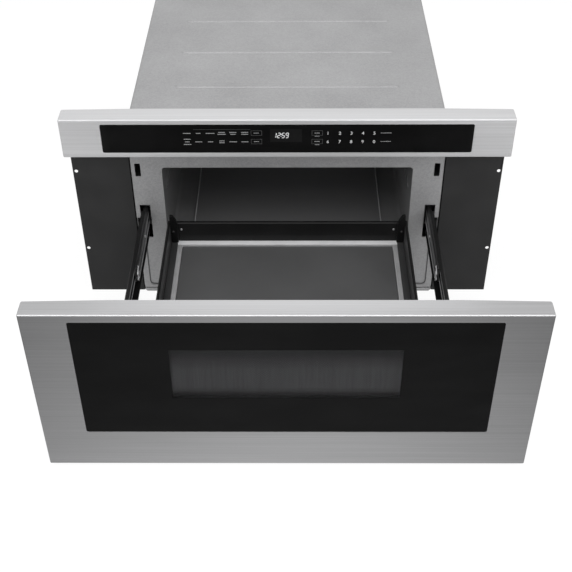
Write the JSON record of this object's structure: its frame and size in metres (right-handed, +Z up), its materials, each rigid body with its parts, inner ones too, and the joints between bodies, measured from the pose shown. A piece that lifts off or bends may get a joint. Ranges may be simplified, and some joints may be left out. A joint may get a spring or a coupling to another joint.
{
  "type": "microwave drawer",
  "caption": "Built-in microwave oven that opens as a drawer, with stainless fronts, a glass tray in a black box on telescopic slides, and a steel chassis that holds the oven and its drive.",
  "frame": {"origin": "centre of the base pan's underside, which stands on the cabinet's deck", "axes": "+X to the right as seen from the front, +Y towards the back of the cabinet, +Z up; the drawer opens along -Y and stands open at rest"},
  "size_m": [0.76, 0.9944, 0.402],
  "materials": {
    "stainless": "brushed stainless sheet with a horizontal grain",
    "black_glass": "black back-painted glass",
    "ceramic": "dark glass-ceramic plate",
    "clear_glass": "clear pane",
    "grey_glass": "grey glass tray",
    "black_paint": "matte black powder coat on steel",
    "cavity_enamel": "dark grey oven paint",
    "zinc": "galvanised steel sheet with a fine spangle",
    "slide_steel": "black zinc-plated steel",
    "bright_steel": "bright plated steel",
    "aluminium": "bare aluminium sheet",
    "transformer_core": "varnished laminations with copper windings",
    "black_plastic": "black moulded plastic",
    "light_plastic": "cream moulded plastic",
    "circuit_board": "green glass-fibre board"
  },
  "bodies": {
    "chassis": {"antenna_motor": "bright_steel", "back_panel": "zinc", "base_pan": "zinc", "cavity_floor_plate": "ceramic", "control_board": "circuit_board", "control_carrier": "black_plastic", "control_glass": "black_glass", "cord_gland": "black_plastic", "display_module": "black_plastic", "drive_bracket": "zinc", "drive_motor": "black_plastic", "fan_motor": "bright_steel", "fan_shroud": "black_plastic", "fascia_back_cover": "zinc", "fascia_skin": "stainless", "front_plate": "zinc", "hv_capacitor": "bright_steel", "hv_transformer": "transformer_core", "interlock_left": "light_plastic", "interlock_right": "light_plastic", "magnetron": "bright_steel", "outer_cover": "zinc", "oven_cavity": "cavity_enamel", "oven_lamp": "light_plastic", "power_board": "circuit_board", "slide_cabinet_member_left": "slide_steel", "slide_cabinet_member_right": "slide_steel", "slide_carrier_left": "zinc", "slide_carrier_right": "zinc", "waveguide": "bright_steel", "wing_left": "black_paint", "wing_right": "black_paint"},
    "drawer": {"choke_cover": "black_plastic", "choke_frame": "black_paint", "corner_cap_left": "black_plastic", "corner_cap_right": "black_plastic", "door_glass": "black_glass", "drawer_box": "black_paint", "drawer_front_skin": "stainless", "drawer_inner_panel": "zinc", "drawer_rack": "light_plastic", "glass_tray": "grey_glass", "inner_window": "clear_glass", "latch_hook_left": "bright_steel", "latch_hook_right": "bright_steel", "slide_arm_left": "black_paint", "slide_arm_right": "black_paint", "slide_drawer_member_left": "slide_steel", "slide_drawer_member_right": "slide_steel", "tray_trim": "bright_steel", "window_screen": "black_paint"},
    "slide_middle_left": {"slide_middle_member_left": "slide_steel"},
    "cage_outer_left": {"ball_cage_outer_left": "bright_steel"},
    "cage_inner_left": {"ball_cage_inner_left": "bright_steel"},
    "slide_middle_right": {"slide_middle_member_right": "slide_steel"},
    "cage_outer_right": {"ball_cage_outer_right": "bright_steel"},
    "cage_inner_right": {"ball_cage_inner_right": "bright_steel"},
    "pinion": {"drive_pinion": "light_plastic"},
    "antenna": {"rotating_antenna": "aluminium"},
    "fan": {"fan_rotor": "black_plastic"}
  },
  "joints": [
    {"name": "drawer_slide", "type": "slide", "parent": "chassis", "child": "drawer", "axis": [0, -1, 0], "range_m": [-0.3969, 0]},
    {"name": "middle_slide_left", "type": "slide", "parent": "chassis", "child": "slide_middle_left", "axis": [0, -1, 0], "range_m": [-0.1985, 0]},
    {"name": "outer_cage_slide_left", "type": "slide", "parent": "chassis", "child": "cage_outer_left", "axis": [0, -1, 0], "range_m": [-0.0993, 0]},
    {"name": "inner_cage_slide_left", "type": "slide", "parent": "chassis", "child": "cage_inner_left", "axis": [0, -1, 0], "range_m": [-0.2977, 0]},
    {"name": "middle_slide_right", "type": "slide", "parent": "chassis", "child": "slide_middle_right", "axis": [0, -1, 0], "range_m": [-0.1985, 0]},
    {"name": "outer_cage_slide_right", "type": "slide", "parent": "chassis", "child": "cage_outer_right", "axis": [0, -1, 0], "range_m": [-0.0993, 0]},
    {"name": "inner_cage_slide_right", "type": "slide", "parent": "chassis", "child": "cage_inner_right", "axis": [0, -1, 0], "range_m": [-0.2977, 0]},
    {"name": "pinion_spin", "type": "hinge", "parent": "chassis", "child": "pinion", "pos_m": [0.202, -0.2395, 0.036], "axis": [1, 0, 0], "range_deg": [-1626, 1]},
    {"name": "antenna_spin", "type": "hinge", "parent": "chassis", "child": "antenna", "pos_m": [0, -0.0762, 0.08], "axis": [0, 0, 1], "continuous": true},
    {"name": "fan_spin", "type": "hinge", "parent": "chassis", "child": "fan", "pos_m": [-0.15, 0.26, 0.255], "axis": [0, 1, 0], "continuous": true}
  ],
  "couplings": [
    {"joint": "middle_slide_left", "follows": "drawer_slide", "ratio": 0.5},
    {"joint": "outer_cage_slide_left", "follows": "drawer_slide", "ratio": 0.25},
    {"joint": "inner_cage_slide_left", "follows": "drawer_slide", "ratio": 0.75},
    {"joint": "middle_slide_right", "follows": "drawer_slide", "ratio": 0.5},
    {"joint": "outer_cage_slide_right", "follows": "drawer_slide", "ratio": 0.25},
    {"joint": "inner_cage_slide_right", "follows": "drawer_slide", "ratio": 0.75},
    {"joint": "pinion_spin", "follows": "drawer_slide", "rad_per_m": 71.429}
  ]
}
